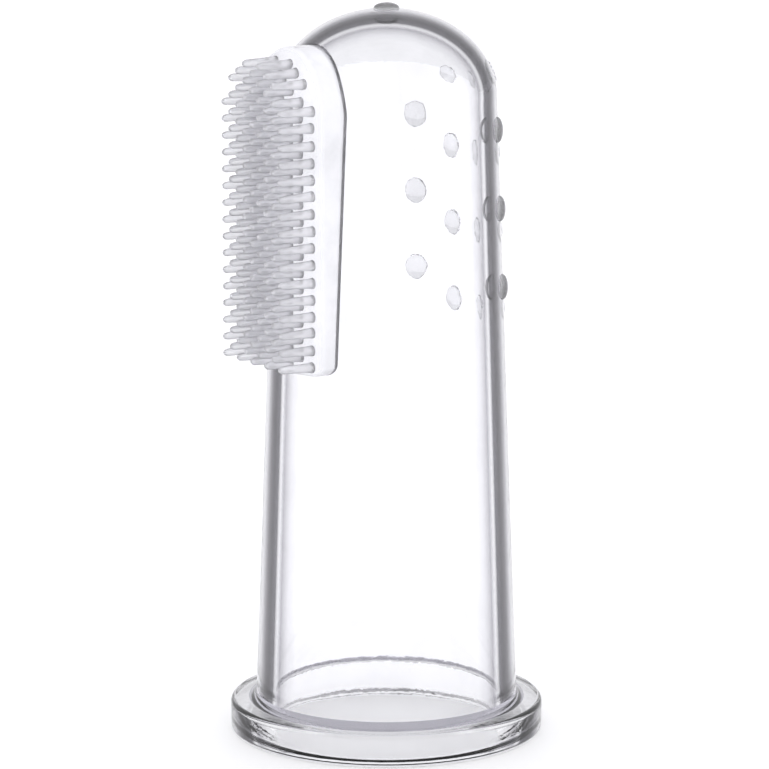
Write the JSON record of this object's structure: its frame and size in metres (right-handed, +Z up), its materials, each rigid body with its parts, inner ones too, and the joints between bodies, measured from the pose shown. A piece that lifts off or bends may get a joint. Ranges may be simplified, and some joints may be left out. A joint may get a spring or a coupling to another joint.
{
  "type": "finger toothbrush",
  "caption": "Clear silicone finger sleeve with a gripping flange, a pad of soft bristles on one side and massage nubs on the other.",
  "frame": {"origin": "centre of the flange's underside, on the sleeve's axis, which is also the bottom centre of the whole part", "axes": "+Z up the sleeve to its crown; the brush faces -Y and the massage nubs face +Y"},
  "size_m": [0.0244, 0.0244, 0.0573],
  "materials": {
    "clear_silicone": "clear glossy moulded silicone",
    "bristle_silicone": "clear silicone, milky where the bristles crowd",
    "nub_silicone": "clear silicone with a fine satin skin"
  },
  "bodies": {
    "root": {"finger_sleeve": "clear_silicone", "grip_flange": "clear_silicone", "brush_pad": "clear_silicone", "bristle_column_1": "bristle_silicone", "bristle_column_2": "bristle_silicone", "bristle_column_3": "bristle_silicone", "bristle_column_4": "bristle_silicone", "bristle_column_5": "bristle_silicone", "bristle_column_6": "bristle_silicone", "bristle_column_7": "bristle_silicone", "bristle_column_8": "bristle_silicone", "bristle_column_9": "bristle_silicone", "nub_a1": "nub_silicone", "nub_a2": "nub_silicone", "nub_a3": "nub_silicone", "nub_b1": "nub_silicone", "nub_b2": "nub_silicone", "nub_b3": "nub_silicone", "nub_b4": "nub_silicone", "nub_c1": "nub_silicone", "nub_c2": "nub_silicone", "nub_c3": "nub_silicone", "nub_c4": "nub_silicone", "nub_d1": "nub_silicone", "nub_d2": "nub_silicone", "nub_d3": "nub_silicone", "nub_crown": "nub_silicone"}
  },
  "joints": []
}
